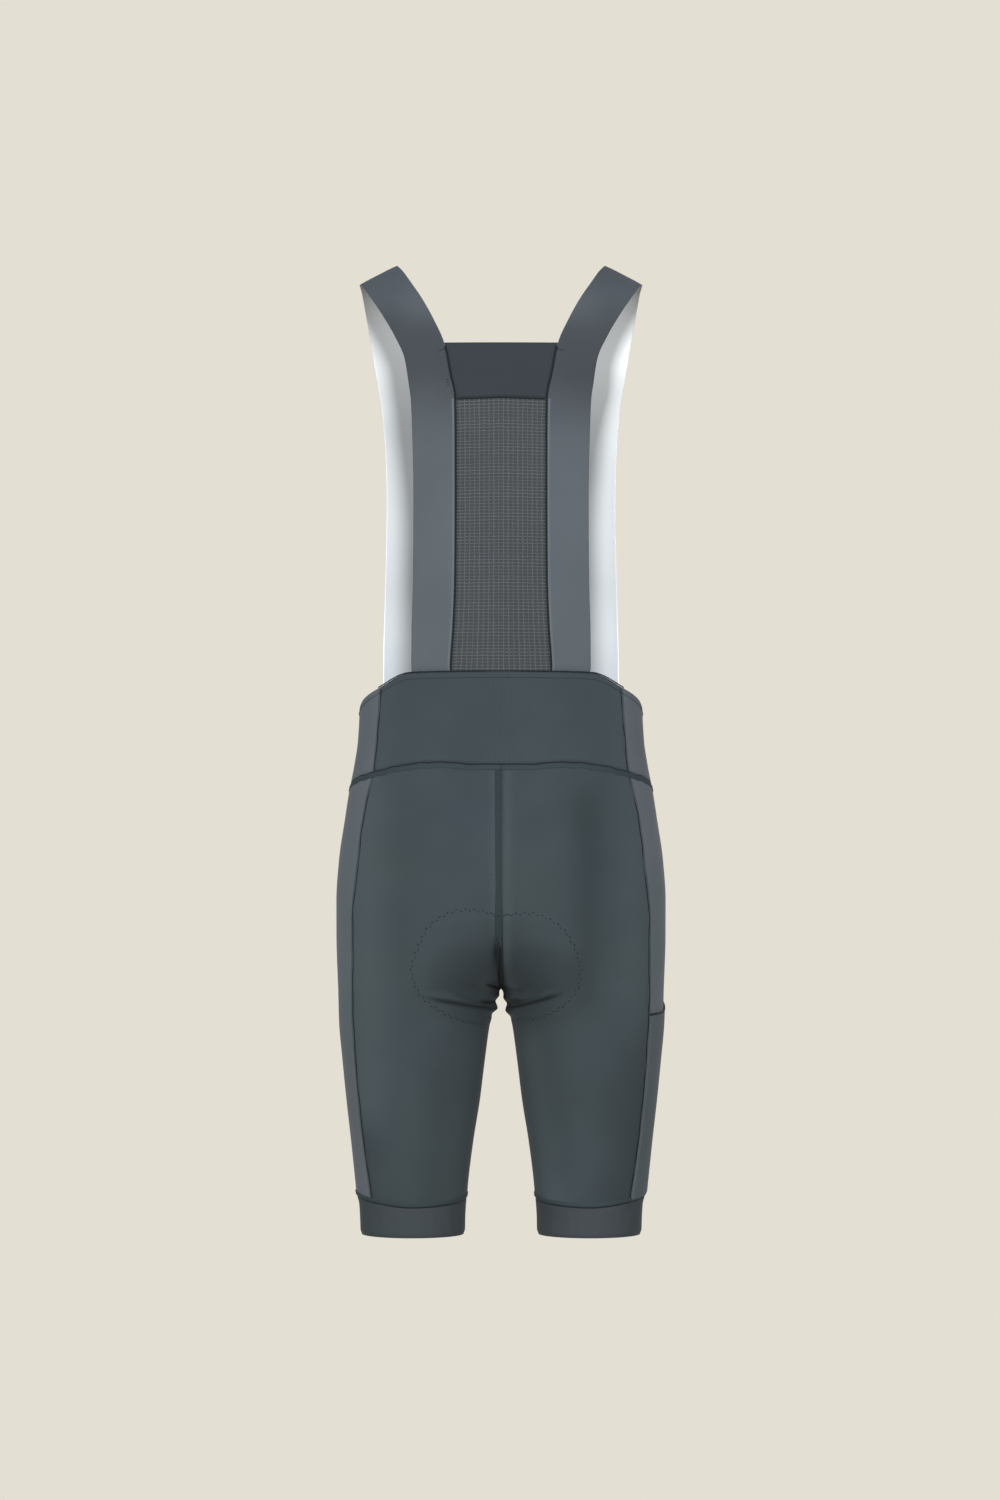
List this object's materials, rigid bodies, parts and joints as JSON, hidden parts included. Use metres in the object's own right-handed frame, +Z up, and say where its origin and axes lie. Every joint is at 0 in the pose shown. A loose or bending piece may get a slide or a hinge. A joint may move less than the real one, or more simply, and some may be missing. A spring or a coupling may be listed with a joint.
{
  "type": "cycling bib shorts",
  "caption": "Sleeveless cycling bib shorts with shoulder straps, open mesh back, waist band, knee-length legs with elastic hems, seat pad and a side pocket",
  "frame": {"origin": "midway between the two shoulder straps, level with the line on which they bear on the shoulders", "axes": "+Z up, -Y towards the wearer's back, -X towards the wearer's left"},
  "size_m": [0.3294, 0.2389, 0.9689],
  "materials": {
    "shorts": "tight knitted elastane fabric, slight sheen",
    "side": "smooth knitted elastane fabric, slight sheen",
    "strap": "smooth elastic strap fabric, pale inner face",
    "yoke": "matt knitted fabric",
    "mesh": "open grid net",
    "gripper": "elastic band",
    "pad": "moulded foam with a knitted cover"
  },
  "bodies": {
    "root": {"back_waist_panel": "shorts", "front_waist_panel": "shorts", "mesh_back_panel": "mesh", "upper_back_panel": "yoke", "seat_pad": "pad", "side_pocket_right": "side", "side_waist_panel_left": "side", "back_leg_panel_left": "shorts", "side_leg_panel_left": "side", "front_leg_panel_left": "shorts", "gripper_left": "gripper", "strap_left": "strap", "side_waist_panel_right": "side", "back_leg_panel_right": "shorts", "side_leg_panel_right": "side", "front_leg_panel_right": "shorts", "gripper_right": "gripper", "strap_right": "strap"}
  },
  "joints": []
}
